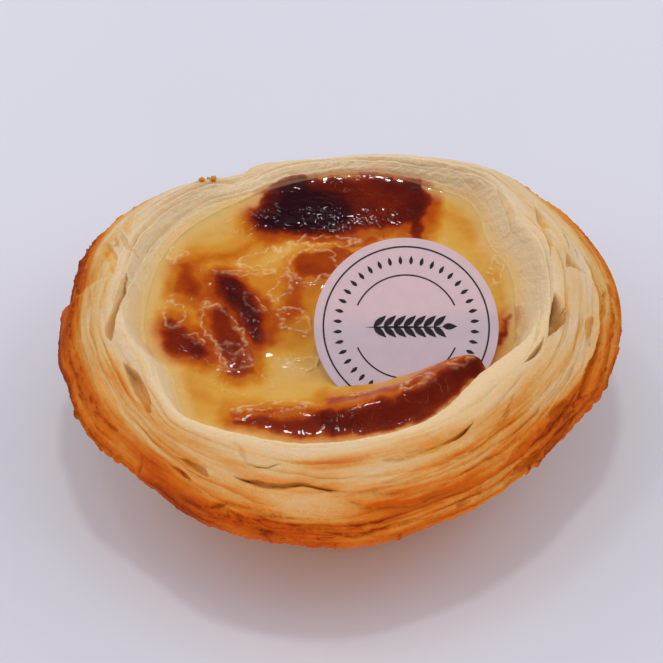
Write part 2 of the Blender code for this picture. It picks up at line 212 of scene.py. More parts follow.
# Browned patches of the skin: how dark, how soft their edge, and a stroke of points (x, y, radius).
BROWNED = [
    (0.84, 2.2, [(-9.2, 19.2, 3.6), (-6.0, 21.4, 5.4), (-1.6, 20.6, 5.0)]),
    (0.76, 1.4, [(-3.0, 21.2, 6.0), (6.2, 22.2, 5.6), (9.4, 22.4, 4.6)]),
    (0.74, 1.2, [(8.0, 25.0, 1.4), (11.6, 25.6, 1.2), (11.2, 16.4, 1.6)]),
    (1.02, 2.0, [(-8.2, 18.8, 2.2), (-5.0, 20.8, 3.2), (-2.2, 18.4, 2.2)]),
    (0.60, 2.6, [(-21.3, 9.0, 1.6), (-20.6, 4.7, 2.2)]),
    (0.42, 2.2, [(-20.3, 10.4, 1.8), (-17.1, 11.6, 1.8), (-13.6, 13.2, 1.8), (-10.6, 15.0, 1.2)]),
    (0.84, 2.4, [(-15.8, 6.4, 2.2), (-13.8, 2.8, 2.8), (-11.6, -0.9, 2.4), (-10.8, -4.2, 1.6)]),
    (0.62, 1.6, [(-16.4, 0.4, 1.6), (-14.8, -5.0, 2.4), (-13.0, -9.4, 2.1)]),
    (0.74, 1.8, [(-23.0, -1.8, 1.6), (-21.6, -5.6, 3.0), (-18.9, -7.0, 2.0)]),
    (0.48, 2.6, [(-19.4, 1.6, 1.4), (-17.0, -3.4, 1.8), (-15.0, -8.2, 1.8)]),
    (0.33, 3.2, [(-19.0, 9.0, 3.0), (-15.5, 1.0, 6.0), (-15.5, -6.0, 5.0)]),
    (0.32, 3.0, [(-12.0, 8.0, 3.0), (-5.0, 4.0, 4.0), (-5.0, -3.0, 3.0)]),
    (0.56, 1.2, [(-3.4, 9.2, 3.2), (0.6, 10.0, 3.8)]),
    (0.48, 2.8, [(-5.6, 6.4, 2.8), (-6.6, 0.8, 3.0), (-8.6, -3.6, 2.2)]),
    (0.27, 2.6, [(13.4, 21.6, 1.6), (18.6, 17.6, 2.2), (22.4, 11.0, 2.0), (23.0, 3.0, 1.6)]),
    (0.52, 1.4, [(1.0, 14.0, 1.0), (5.6, 15.0, 1.1)]),
    (0.34, 3.0, [(-19.6, -13.6, 1.8), (-16.0, -16.0, 1.6), (-11.0, -17.0, 1.2)]),
    (0.50, 1.6, [(-13.5, -18.4, 1.0), (-8.8, -18.8, 1.1), (-4.9, -18.2, 1.1)]),
    (0.55, 2.0, [(-0.9, -16.4, 1.4), (4.4, -16.2, 1.8), (9.8, -14.6, 1.7), (13.8, -11.6, 1.4)]),
    (0.68, 1.4, [(-13.2, -19.6, 0.9), (-8.1, -20.8, 1.7), (-4.2, -21.2, 1.9), (-0.9, -20.4, 2.0)]),
    (0.75, 1.4, [(-0.9, -20.0, 2.2), (3.0, -20.8, 2.4), (7.7, -19.4, 2.3), (12.4, -16.6, 2.4),
                 (15.8, -13.4, 2.2), (18.2, -10.6, 1.7)]),
    (0.68, 1.2, [(18.2, -10.6, 1.4), (20.6, -8.0, 1.3), (22.4, -4.6, 1.1), (23.6, -0.6, 0.8)]),
]
GLOW, GLOW_WIDTH = 0.44, 2.2  # the amber glow round a patch, and how far it reaches
# Thin raised threads round blisters: (x, y, length, width, turn).
THREADS = [
    (-15.6, -3.2, 5.4, 2.0, -62), (-14.0, -7.8, 2.4, 1.8, -50), (-19.3, -5.0, 1.5, 0.8, -35),
    (-5.8, -1.2, 2.6, 1.6, -50), (-12.4, 8.4, 3.4, 0.5, 4), (-1.6, 14.6, 4.4, 1.0, 4),
    (-3.4, 9.4, 3.4, 3.2, 20), (-10.4, 11.6, 3.6, 1.3, 20), (-22.4, 0.4, 1.3, 2.6, 10),
    (-4.2, -8.6, 1.5, 0.9, 20), (-11.6, 1.8, 1.0, 1.8, 30), (3.2, -15.4, 1.4, 0.6, 10),
    (10.6, -14.6, 2.1, 0.8, 25), (16.8, -10.6, 1.6, 0.7, 35), (22.4, 8.6, 0.9, 2.4, 0),
    (-8.2, -17.6, 4.6, 0.9, 2), (-22.6, 11.6, 1.4, 0.8, 40), (-7.8, 5.2, 1.2, 2.6, -25),
]
THREAD_HEIGHT, THREAD_WIDTH = 0.2, 0.21

# The paper topper stands tilted, its near edge tucked under the fold.
TOPPER_RADIUS = 12.5
TOPPER_THICKNESS = 0.42
TOPPER_CENTRE = (9.4, -5.8, 23.5)
TOPPER_TILT = 30
TOPPER_SEGMENTS = 180
# Its print: a border ring, a ring of small leaves, and an ear of wheat between two bent strokes. A leaf is
# (length, width), and one with a place starts with it: (x, y, length, width).
BORDER_RADIUS, BORDER_WIDTH = 11.2, 0.22
STROKE_RADIUS, STROKE_WIDTH = 7.2, 0.2
STROKE_STARTS, STROKE_SWEEP = (24, 204), 132
SMALL_LEAVES, SMALL_LEAF, LEAF_RING_RADIUS = 40, (1.25, 0.5), 8.7
STALK, EAR_TIP = (-5.6, -0.1, 11.2, 0.3), (4.9, 0, 2.0, 0.9)
EAR_ROWS, EAR_START, EAR_STEP = 7, -4.4, 1.35
EAR_LEAF, EAR_SPREAD = (2.3, 0.85), 42
PRINT_LIFT = 0.03  # how far the print stands over the paper

# The photograph's view, and the studio's light: (name, x, y, z in metres, size, power, colour).
CAMERA_ELEVATION, CAMERA_DISTANCE, CAMERA_LENS = 46, 330, 130.8
CAMERA_TARGET = (-0.7, -3.3, 20.0)
LIGHT_TARGET = (0, 0, 0.015)
NEARLY_WHITE, COOLER = (1.0, 0.985, 0.98), (1.0, 0.99, 0.99)
GLINTS = [
    ("small_top", 0.0, 0.08, 0.62, 0.07, 0.5, (1.0, 0.985, 0.96)),
    ("small_left", -0.2, 0.14, 0.55, 0.05, 0.12, (1.0, 0.985, 0.96)),
]
SOFTBOXES = [
    ("softbox_over", 0.0, 0.05, 0.62, 0.6, 0.26, (1.0, 0.985, 0.97)),
    ("softbox_left", -0.46, 0.0, 0.42, 0.5, 0.74, NEARLY_WHITE),
    ("softbox_right", 0.46, 0.0, 0.42, 0.5, 0.78, NEARLY_WHITE),
    ("back_left", -0.38, 0.40, 0.30, 0.4, 0.56, COOLER),
    ("back_right", 0.38, 0.40, 0.30, 0.4, 0.56, COOLER),
    ("low_back", 0.0, 0.55, 0.22, 0.4, 0.15, COOLER),
    ("warm_front", 0.0, -0.42, 0.022, 0.036, 0.62, (1.0, 0.5, 0.14)),
]
WORLD_COLOUR, WORLD_STRENGTH = (0.97, 0.96, 1.0), 0.43
TABLE_SIDE = 3.0

SHELL_SEGMENTS = 1100
LEAF_ROWS = 19
CUSTARD_GRID = 420


def turned_from(theta, azimuth):
    """How far round the rim from an azimuth, -180 to 180."""
    return (np.degrees(theta) - azimuth + 180) % 360 - 180


def swell(theta, azimuth, width):
    """1 at the azimuth, falling smoothly to 0 on both sides of it."""
    return np.exp(-((turned_from(theta, azimuth) / width) ** 2))


def swollen(theta, level, swells):
    return level + sum(size * swell(theta, azimuth, width) for azimuth, width, size in swells)


def waves(theta, shape, shift=1):
    """A sum of sines round the rim."""
    return sum(size * np.sin(count * theta + math.radians(turn * shift)) for count, size, turn in shape)


def ease(value, low=0.0, high=1.0):
    """0 below low, 1 above high, smooth between."""
    t = np.clip((value - low) / (high - low), 0, 1)
    return t * t * (3 - 2 * t)


class Noise:
    """Smooth random relief, the same each run: about -1 to 1, with features about one unit across."""

    SIZE = 32

    def __init__(self, seed):
        rng = np.random.default_rng(seed)
        slopes = rng.normal(size=(self.SIZE,) * 3 + (3,))
        self.slopes = slopes / np.linalg.norm(slopes, axis=-1, keepdims=True)

    def __call__(self, x, y, z=0.0):
        place = np.stack(np.broadcast_arrays(x, y, z), -1).astype(float)
        cell = np.floor(place).astype(int)
        inside = place - cell
        blend = inside ** 3 * (inside * (inside * 6 - 15) + 10)
        total = 0.0
        for corner in itertools.product((0, 1), repeat=3):
            index = tuple((cell[..., axis] + corner[axis]) % self.SIZE for axis in range(3))
            weight = np.prod([blend[..., a] if corner[a] else 1 - blend[..., a] for a in range(3)], axis=0)
            total += weight * np.sum(self.slopes[index] * (inside - corner), -1)
        return total * 1.6

    def layered(self, x, y, z=0.0, layers=4, gain=0.5):
        total, size = 0.0, 1.0
        for layer in range(layers):
            grow = 2.03 ** layer
            total += size * self(x * grow + 7 * layer, y * grow, z * grow)
            size *= gain
        return total

    def round(self, theta, across, count, stretch):
        """Noise round the rim without a seam: count features a turn, and stretch of them across."""
        turn = count / (2 * math.pi)
        return self(np.cos(theta) * turn, np.sin(theta) * turn, across * stretch)


noise_a, noise_b, noise_c = Noise(11), Noise(23), Noise(37)


def inner_radius(theta):
    return swollen(theta, INNER_RADIUS, INNER_SWELLS)


def inner_height(theta):
    return swollen(theta, INNER_HEIGHT, INNER_HEIGHT_SWELLS)


def outer_radius(theta):
    azimuth = np.degrees(theta) % 360
    radius = swollen(theta, OUTER_RADIUS, OUTER_SWELLS) + waves(theta, OUTER_WAVES)
    for start, end, size in EDGE_FLAPS:
        radius += size * ease(azimuth, start, start + 1.5) * (1 - ease(azimuth, end - 8, end))
    return radius


def outer_height(theta):
    return swollen(theta, OUTER_HEIGHT, OUTER_HEIGHT_SWELLS)


def rim_point(theta, share):
    """Radius and height on the rounded rim, at a share of its width."""
    inner, outer = inner_radius(theta), outer_radius(theta)
    low, crest, edge = inner_height(theta), swollen(theta, CREST_HEIGHT, CREST_SWELLS), outer_height(theta)
    crest_share = swollen(theta, CREST_SHARE, CREST_SHARE_SWELLS)
    rise = ease(share, 0, crest_share)
    beyond = np.clip((share - crest_share) / (1 - crest_share), 0, 1)
    fall = beyond ** swollen(theta, FALL_POWER, FALL_POWER_SWELLS)
    return inner + (outer - inner) * share, low + (crest - low) * rise - (crest - edge) * fall


def leaf_direction(share):
    """The way a leaf points at this share of the rim, as (outwards, upwards)."""
    angle = np.radians(LEAF_STEEPEST + (LEAF_FLATTEST - LEAF_STEEPEST) * share)
    return np.cos(angle), np.sin(angle)


def groove(theta, index):
    """Share, depth and lift of one groove round the rim."""
    start = GROOVES[index]
    turn = theta - math.radians(SPIRAL_AZIMUTH)
    stray = np.sin(3 * theta + 2.4 * index) * np.sin(theta - 1.7 * index)
    wander = SPIRAL * np.sin(turn) + LEAF_WANDER * stray
    share = start + wander * 4 * start * (1 - start)
    share += 0.035 * noise_a.round(theta, index, 12, 0.6)
    share += 0.02 * noise_c.round(theta, index, 34, 0.9)
    share += 0.006 * noise_b.round(theta, index, 150, 3.1)
    parted = 0.7 + waves(theta, LEAF_WAVES, index + 1) + 0.9 * noise_c.round(theta, index, 14, 3.7)
    for closed_groove, azimuth, width in CLOSED:
        if closed_groove == index:
            parted *= 1 - swell(theta, azimuth, width)
    baked_together = 0.65 * swell(theta, 260, 100) + 0.2 * swell(theta, 0, 50)
    parted = np.clip(parted, 0, None) * (1 - baked_together)
    return share, GROOVE_DEPTH * parted, LEAF_LIFT * parted


def nearest(u, v, du, dv):
    """How far along the line from (0, 0) to (du, dv) it comes nearest to (u, v), 0 to 1, and the gap."""
    along = np.clip((u * du + v * dv) / (du * du + dv * dv), 0, 1)
    return along, u - du * along, v - dv * along


def rim_scale(theta, share):
    """Millimetres in one degree round the rim at this share of it, and in its whole width."""
    width = outer_radius(theta) - inner_radius(theta)
    return math.radians(1) * (inner_radius(theta) + width * share), width


def laid_flat(theta, share, scale, start, end):
    """A place on the rim and a line's end, in millimetres round and across from the line's start."""
    degree, width = scale
    u, v = turned_from(theta, start[0]) * degree, (share - start[1]) * width
    return u, v, (end[0] - start[0]) * degree, (end[1] - start[1]) * width


def hole_depth(theta, share):
    """How deep the openings between the leaves go at points of the rim."""
    depth, scale = np.zeros_like(share), rim_scale(theta, share)
    ragged = 0.05 * noise_c.round(theta, share, 150, 18) + 0.06 * noise_a.round(theta, share, 60, 9)
    for deepest, soft, outline in HOLES:
        near, crossings = np.full_like(share, FAR), np.zeros(share.shape, dtype=int)
        for start, end in zip(outline, outline[1:] + outline[:1]):
            u, v, du, dv = laid_flat(theta, share, scale, start, end)
            _, gap_u, gap_v = nearest(u, v, du, dv)
            near = np.minimum(near, np.hypot(gap_u, gap_v))
            spans = (v < 0) != (v < dv)
            crossings += spans & (u < v * du / np.where(dv == 0, 1, dv))
        same_side = np.abs(turned_from(theta, outline[0][0])) < 90
        inside = np.where(same_side & (crossings % 2 == 1), near, -near) + ragged
        depth = np.maximum(depth, deepest * ease(inside, -0.08, soft) ** 0.8)
    return depth


def slit_depth(theta, share):
    """How deep the slits go at points of the rim, and how far the leaves' edges beside them stand up."""
    depth, lips, scale = np.zeros_like(share), np.zeros_like(share), rim_scale(theta, share)
    uneven = 1 + 0.3 * noise_b.round(theta, share, 60, 9)
    ragged = 0.07 * noise_c.round(theta, share, 120, 12)
    for deepest, widest, gentle, line in SLITS:
        for step, (start, end) in enumerate(zip(line, line[1:])):
            u, v, du, dv = laid_flat(theta, share, scale, start, end)
            along, gap_u, gap_v = nearest(u, v, du, dv)
            away = np.hypot(gap_u, gap_v)
            outwards = np.where((du * v - dv * u) * du > 0, away, -away) + ragged
            lens = np.clip(1 - (2 * (step + along) / (len(line) - 1) - 1) ** 2, 0, 1) ** 0.85
            half_width = widest * (0.1 + 0.9 * lens) * uneven
            steep = ease(outwards + half_width, -0.1, 0.14)
            gentle_side = 1 - ease(outwards / half_width, 1 - gentle, 1 + gentle)
            depth = np.maximum(depth, SLIT_FILLED * deepest * lens ** 0.6 * steep * gentle_side)
            edge = np.exp(-(((outwards + half_width + 0.3) / 0.34) ** 2))
            lips = np.maximum(lips, min(0.2 * deepest, LIP_HIGHEST) * edge * lens)
    return depth, lips


def rim_rows(theta):
    """Rows across the rim: share, stand along the leaf's direction, depth of gaps, place across a leaf."""
    width = outer_radius(theta) - inner_radius(theta)
    blank = np.zeros_like(theta)
    grooves, before = [], blank
    for index in range(len(GROOVES)):
        share, depth, lift = groove(theta, index)
        room = LEAF_NARROWEST * (len(GROOVES) - index)
        before = np.clip(np.maximum(share, before + LEAF_NARROWEST), 0, 1 - room)
        grooves.append((before, depth, lift))
    borders = [(blank, blank, blank)] + grooves + [(blank + 1, blank, blank)]
    rows = []
    for (low, low_depth, _), (high, high_depth, lift) in zip(borders, borders[1:]):
        for step in range(LEAF_ROWS):
            across = 0.5 - 0.5 * math.cos(math.pi * step / LEAF_ROWS)
            share = low + (high - low) * across
            inner_trench = np.exp(-(((share - low) * width / GROOVE_HALF_WIDTH) ** 2) ** 1.1)
            outer_trench = np.exp(-(((high - share) * width / GROOVE_HALF_WIDTH) ** 2) ** 1.1)
            trench = np.clip(inner_trench + outer_trench, 0, 1)
            slit, lip = slit_depth(theta, share)
            gaps = np.maximum(slit, hole_depth(theta, share))
            deep = np.maximum(low_depth * inner_trench + high_depth * outer_trench, gaps)
            stand = lift * ease(across, 0.1, 0.95) * (1 - trench) + lip - deep
            rows.append((share, stand, deep, np.full_like(theta, across)))
    return rows


def hollow_radius(theta, height):
    """Radius of the hollow in the shell at a height."""
    share = (height - FLOOR_HEIGHT) / (inner_height(theta) - FLOOR_HEIGHT)
    return FLOOR_RADIUS + (inner_radius(theta) - FLOOR_RADIUS) * share


def fold_place(x, y):
    """Distance to the fold's crest, the crest's height there, and how far the point lies to its front."""
    away, height, ahead = np.full_like(x, FAR), np.zeros_like(x), np.zeros_like(x)
    for (x0, y0, h0), (x1, y1, h1) in zip(FOLD, FOLD[1:]):
        dx, dy = x1 - x0, y1 - y0
        along, gap_x, gap_y = nearest(x - x0, y - y0, dx, dy)
        distance = np.hypot(gap_x, gap_y)
        nearer = distance < away
        away = np.where(nearer, distance, away)
        height = np.where(nearer, h0 + (h1 - h0) * along, height)
        ahead = np.where(nearer, (gap_x * dy - gap_y * dx) / math.hypot(dx, dy), ahead)
    return away, height, ahead


def fold_height(x, y):
    """Height that the fold adds: steep to the front, gentler to the back."""
    away, crest, ahead = fold_place(x, y)
    half_width = FOLD_BACK + (FOLD_FRONT - FOLD_BACK) * ease(ahead, -1.0, 1.0)
    return crest * np.exp(-((away / half_width) ** 2))


def oval(x, y, x0, y0, length, width, turn):
    """Distance from an oval's middle, 1 at its edge."""
    c, s = math.cos(math.radians(turn)), math.sin(math.radians(turn))
    u, v = (x - x0) * c + (y - y0) * s, (y - y0) * c - (x - x0) * s
    return np.hypot(u / length, v / width)


def beyond_stroke(x, y, stroke):
    """Distance outside a stroke of points (x, y, radius); below 0 inside it."""
    beyond = np.full_like(x, FAR)
    for (x0, y0, r0), (x1, y1, r1) in zip(stroke, stroke[1:]):
        along, gap_x, gap_y = nearest(x - x0, y - y0, x1 - x0, y1 - y0)
        beyond = np.minimum(beyond, np.hypot(gap_x, gap_y) - r0 - (r1 - r0) * along)
    return beyond


def browning(x, y):
    """How browned the custard's skin is: 0 pale, 0.5 orange, 0.8 dark red-brown, 1 nearly black."""
    warp_x = x + 0.7 * noise_a.layered(x / 2.8, y / 2.8, 1.5, 4)
    warp_y = y + 0.7 * noise_b.layered(x / 2.8, y / 2.8, 5.5, 4)
    brown = 0.10 + 0.10 * noise_c.layered(x / 6, y / 6, 9.1, 3)
    for dark, soft, stroke in BROWNED:
        beyond = beyond_stroke(warp_x, warp_y, stroke)
        glow = min(0.62 * dark, GLOW) * np.exp(-((np.clip(beyond, 0, None) / GLOW_WIDTH) ** 2))
        here = np.maximum(dark * (1 - ease(beyond, -1.0 * soft, 1.1 * soft)), glow)
        brown = np.maximum(brown, here) + 0.12 * np.minimum(brown, here)
    return brown


def skin_threads(x, y):
    """Thin raised threads on the skin, beaded and broken along their way."""
    warp_x = x + 0.75 * noise_b.layered(x / 1.7, y / 1.7, 2.2, 3)
    warp_y = y + 0.75 * noise_c.layered(x / 1.7, y / 1.7, 6.2, 3)
    threads = np.zeros_like(x)
    for x0, y0, length, width, turn in THREADS:
        from_edge = (oval(warp_x, warp_y, x0, y0, length, width, turn) - 1) * min(length, width)
        threads = np.maximum(threads, np.exp(-((from_edge / THREAD_WIDTH) ** 2)))
    field = noise_b.layered(x / 3.4, y / 3.4, 2.2, 3, 0.45)
    loose = np.exp(-(((field - 0.1) / 0.022) ** 2)) * ease(noise_a(x / 5.0, y / 5.0, 7.7), 0.1, 0.3)
    beads = ease(noise_c(x / 0.7, y / 0.7, 4.0), -0.45, 0.3)
    return np.maximum(threads * (0.15 + 0.85 * beads), 0.7 * loose * beads)


def custard_height(x, y, brown, threads):
    """The custard's skin at a point, wrinkled where it is dark."""
    theta, radius = np.arctan2(y, x), np.hypot(x, y)
    climb = np.exp(-np.clip(inner_radius(theta) - radius, 0, None) / EDGE_CLIMB)
    flat = 1 - climb
    height = CUSTARD_LEVEL + (inner_height(theta) - 0.1 - CUSTARD_LEVEL) * climb
    for x0, y0, length, width, turn, rise in BLISTERS:
        height += flat * rise * np.exp(-(oval(x, y, x0, y0, length, width, turn) ** 2))
    height += flat * fold_height(x, y)
    creases = np.abs(noise_a.layered(x / 3.4 + 0.3 * y, y / 1.9, 3.3, 2, 0.4))
    height -= flat * 0.16 * ease(brown, 0.78, 1.05) * (1 - ease(creases, 0.0, 0.3))
    height += flat * 0.20 * noise_b.layered(x / 5, y / 5, 8.8, 2)
    height += 0.05 * noise_c(x / 1.3, y / 1.3, 1.8)
    wrinkles = 1 - ease(np.abs(noise_c.layered(x / 1.5 + 0.2 * y, y / 1.1, 6.6, 2)), 0.0, 0.3)
    height -= 0.09 * flat * wrinkles * ease(brown, 0.6, 0.85)
    return height + THREAD_HEIGHT * threads


def border_mask(x, y, brown):
    """Where the custard thins out to a pale film at the pastry."""
    theta, radius = np.arctan2(y, x), np.hypot(x, y)
    inside = inner_radius(theta) - radius + 0.5 * noise_a.layered(x / 3, y / 3, 2.7, 3)
    return (1 - ease(inside, 0.0, 2.6)) * (1 - ease(brown, 0.45, 0.7))


def square_to_disc(count):
    """Points of a square grid moved to fill a round of radius 1, evenly."""
    u, v = np.meshgrid(np.linspace(-1, 1, count), np.linspace(-1, 1, count), indexing="ij")
    wider = np.abs(u) > np.abs(v)
    radius = np.where(wider, u, v)
    ratio = np.where(wider, v / np.where(u == 0, 1, u), u / np.where(v == 0, 1, v))
    angle = np.where(wider, math.pi / 4 * ratio, math.pi / 2 - math.pi / 4 * ratio)
    return radius * np.cos(angle), radius * np.sin(angle)


def add_object(name, data):
    obj = bpy.data.objects.new(name, data)
    bpy.context.scene.collection.objects.link(obj)
    return obj


def turn_outwards(mesh):
    """Turns all faces of a closed mesh outwards."""
    bm = bmesh.new()
    bm.from_mesh(mesh)
    bmesh.ops.recalc_face_normals(bm, faces=bm.faces)
    bm.to_mesh(mesh)
    bm.free()


def mesh_object(name, points, faces, attributes=None):
    """A smooth mesh from points in millimetres, faces, and named numbers for each point."""
    mesh = bpy.data.meshes.new(name)
    mesh.from_pydata((points * MM).tolist(), [], faces)
    for key, values in (attributes or {}).items():
        layer = mesh.attributes.new(key, "FLOAT", "POINT")
        layer.data.foreach_set("value", np.asarray(values, dtype=np.float32).ravel())
    turn_outwards(mesh)
    mesh.shade_smooth()
    obj = add_object(name, mesh)
    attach(obj, "root")
    return obj


def ring_faces(rows, cols):
    """Faces of a tube of rings, with a point before the first ring and one after the last."""
    ring = np.arange(rows * cols).reshape(rows, cols) + 1
    after = np.roll(ring, -1, axis=1)
    quads = np.stack([ring[:-1], ring[1:], after[1:], after[:-1]], -1).reshape(-1, 4)
    start = np.stack([np.zeros(cols, int), ring[0], after[0]], -1)
    end = np.stack([np.full(cols, rows * cols + 1), after[-1], ring[-1]], -1)
    return start.tolist() + quads.tolist() + end.tolist()


def normals_of(points):
    """Outward normals of a closed band of rings, rows by columns."""
    along = np.gradient(points, axis=0)
    ahead = np.roll(points, -1, axis=1) - np.roll(points, 1, axis=1)
    normal = np.cross(ahead, along)
    return normal / np.maximum(np.linalg.norm(normal, axis=-1, keepdims=True), 1e-9)


def shell_profile(theta):
    """Every row of the shell from the hollow's floor over the rim to the base, with its masks."""
    blank = np.zeros_like(theta)
    rows = []

    def add(radius, height, share, deep=blank, across=blank, wall=0.0):
        rows.append((radius, height, share + blank, deep, across, wall + blank))

    for height in (FLOOR_HEIGHT, FLOOR_HEIGHT + 8, CUSTARD_LEVEL - 1.2, CUSTARD_LEVEL):
        add(hollow_radius(theta, height), height + blank, 0)
    for share, stand, deep, across in rim_rows(theta):
        radius, height = rim_point(theta, share)
        out, up = leaf_direction(share)
        add(radius + stand * out, height + stand * up, share, deep, across)
    edge_radius, edge_height = outer_radius(theta), outer_height(theta)
    for turn in np.linspace(0, math.pi, 12):
        bulge = 0.5 * EDGE_THICKNESS * math.sin(turn)
        drop = 0.5 * EDGE_THICKNESS * (1 - math.cos(turn))
        add(edge_radius - 0.35 + 0.45 * bulge - 0.25 * drop, edge_height - drop, 1.0)
    shares, radii = zip(*reversed(WALL))
    for share in np.linspace(WALL_TOP, 0.0, 64):
        radius = np.interp(share, shares, radii)
        follow = (edge_radius - OUTER_RADIUS) * share ** 2
        add(radius + follow, edge_height * share, 1.0, wall=1 - share / WALL_TOP)
    for radius in np.linspace(BASE_RADIUS, 3, 10):
        add(radius + blank, blank, 1.0, wall=1.0)
    return [np.stack(column) for column in zip(*rows)]


def flakes(theta, share):
    """Thin leaves that overlap like shingles: 0 where one starts, rising to 1 at its free edge."""
    drift = share + 0.05 * np.sin(theta * 2 + 0.6) + 0.04 * noise_a.round(theta, share, 5, 2)
    steps = drift * FLAKE_COUNT + 0.9 * noise_b.round(theta, share, 12, 3)
    steps += 0.25 * noise_c.round(theta, share, 60, 8)
    here = noise_c.round(theta, share, 7, 4)
    here += 0.3 * swell(theta, 322, 24) - 0.35 * swell(theta, 255, 30)
    return (steps % 1.0) ** 2.5 * ease(here, 0, 0.5) * ease(share, 0.45, 0.7)


def cracks(theta, share):
    """Thin cracks in the crust near the outer edge."""
    field = noise_a.round(theta, share, 26, 22) + 0.4 * noise_b.round(theta, share, 80, 50)
    here = noise_c.round(theta, share, 12, 4) + 0.4 * swell(theta, 335, 40)
    where = ease(share, 0.72, 0.86) * ease(here, -0.2, 0.3)
    return (1 - ease(np.abs(field), 0.0, 0.09)) * where


def puffs(theta, share):
    """Soft lumps of the puffed dough."""
    lumps = 0.34 * noise_a.round(theta, share, 13, 3) + 0.2 * noise_c.round(theta, share, 30, 6)
    return lumps * ease(share, 0.1, 0.4)


def streaks(theta, share):
    """Fine streaks along the leaves."""
    return noise_c.round(theta + 0.6 * share, share, 26, 46) * ease(share, 0.05, 0.3)


def shell_relief(theta, share, wall):
    """Small relief of the pastry, outwards: overlapping flakes, puffed skin, cracks and a crumbly rim."""
    on_rim = 1 - ease(wall, 0.0, 0.2)
    relief = (0.24 * flakes(theta, share) - 0.3 * cracks(theta, share)) * on_rim
    relief += (puffs(theta, share) + 0.05 * streaks(theta, share)) * on_rim
    slant = theta + 0.5 * share
    fibres = noise_b.round(slant, share, 130, 5) + 0.6 * noise_c.round(slant, share, 260, 8)
    relief += 0.08 * (1 - ease(share, 0.25, 0.45)) * fibres
    bumps = noise_c.round(theta, share, 90, 14) + 0.6 * noise_a.round(theta, share, 190, 30)
    relief += (0.06 + 0.09 * ease(share, 0.8, 1.0)) * bumps * (1 - 0.7 * ease(wall, 0.0, 0.3))
    crumbs = noise_b.round(theta, share, 230, 22) + 0.7 * noise_a.round(theta, share, 480, 40)
    patchy = ease(noise_c.round(theta, share, 18, 2), -0.2, 0.5)
    uneven = 0.5 + 0.7 * patchy + 0.8 * swell(theta, 115, 28)
    relief += 0.24 * ease(share, 0.93, 0.99) * (1 - ease(wall, 0.0, 0.1)) * crumbs * uneven
    return relief * ease(share, 0.0, 0.04)


def wall_relief(theta, wall):
    """The laminations on the shell's side: shallow steps that climb slowly round it."""
    height = wall * 9 + 0.5 * np.sin(theta) + 0.5 * noise_a.round(theta, wall, 7, 2)
    return 0.12 * ease(wall, 0.03, 0.15) * ease(wall, 1.0, 0.95) * np.sin(2 * math.pi * height)


def toasting(theta, share, across, wall):
    """How browned the pastry is, 0 floury white to 1 deep brown."""
    toast = 0.05 + 0.16 * ease(share, 0.2, 0.6) + 0.36 * ease(share, 0.68, 0.9)
    toast += 0.1 * ease(share, 0.93, 1.0)
    for azimuth, width, middle, spread, amount in TOAST_SPOTS:
        toast += amount * swell(theta, azimuth, width) * np.exp(-(((share - middle) / spread) ** 2))
    edges = ease(across, 0.55, 0.98) * ease(share, 0.2, 0.45)
    patchy = ease(noise_b.round(theta, share, 12, 5), -0.3, 0.5)
    toast += 0.26 * edges * patchy
    toast += 0.17 * noise_a.round(theta, share, 20, 9) * ease(share, 0.15, 0.5)
    toast += 0.10 * noise_c.round(theta, share, 50, 34) * ease(share, 0.3, 0.6)
    toast += 0.12 * flakes(theta, share) + 0.3 * cracks(theta, share)
    toast += 0.07 * streaks(theta, share) - 0.3 * puffs(theta, share)
    wall_tone = 0.46 + 0.16 * noise_b.round(theta, wall, 12, 6) - 0.06 * ease(wall, 0.0, 0.6)
    return np.clip(toast + (wall_tone - toast) * ease(wall, 0.0, 0.12), 0, 1)


def film_mask(theta, share):
    """Where the custard's thin film climbs the pastry's lip."""
    reach = swollen(theta, 0.11, FILM_SWELLS)
    reach += 0.05 * noise_a.round(theta, 0.0, 14, 1)
    reach += 0.04 * noise_b.round(theta, 0.0, 60, 1)
    return 1 - ease(share / np.clip(reach, 0.02, None), 0.1, 1.0)


def make_shell():
    theta = np.arange(SHELL_SEGMENTS) * 2 * math.pi / SHELL_SEGMENTS
    radius, height, share, deep, across, wall = shell_profile(theta)
    turn = np.broadcast_to(theta, radius.shape)
    points = np.stack([radius * np.cos(turn), radius * np.sin(turn), height], -1)
    relief = shell_relief(turn, share, wall) + wall_relief(turn, wall)
    relief *= 1 - ease(wall, 0.97, 1.0)
    points += normals_of(points) * relief[..., None]
    points[..., 2] = np.clip(points[..., 2], 0, None)
    brown = browning(points[..., 0], points[..., 1]) * (1 - ease(share, 0.12, 0.2))
    masks = {
        "toast": toasting(turn, share, across, wall),
        # the gaps' depth; the material gives the gaps a brighter golden colour there, a painted glow
        "deep": ease(deep, 0.05, 0.9),
        "flour": (1 - ease(share, 0.16, 0.5)) * (0.8 + 0.35 * noise_b.round(turn, share, 16, 8)),
        "film": np.maximum(film_mask(turn, share), ease(brown, 0.45, 0.65)),
        "brown": brown,
        "wall": wall,
    }
    ends = {"toast": 0.7, "wall": 1.0}
    values = {key: np.pad(mask.ravel(), 1, constant_values=ends.get(key, 0)) for key, mask in masks.items()}
    rows, cols = radius.shape
    whole = np.concatenate([[[0, 0, FLOOR_HEIGHT]], points.reshape(-1, 3), [[0, 0, 0]]])
    shell = mesh_object("tart_pastry", whole, ring_faces(rows, cols), values)
    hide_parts("pastry_shell")
    return shell


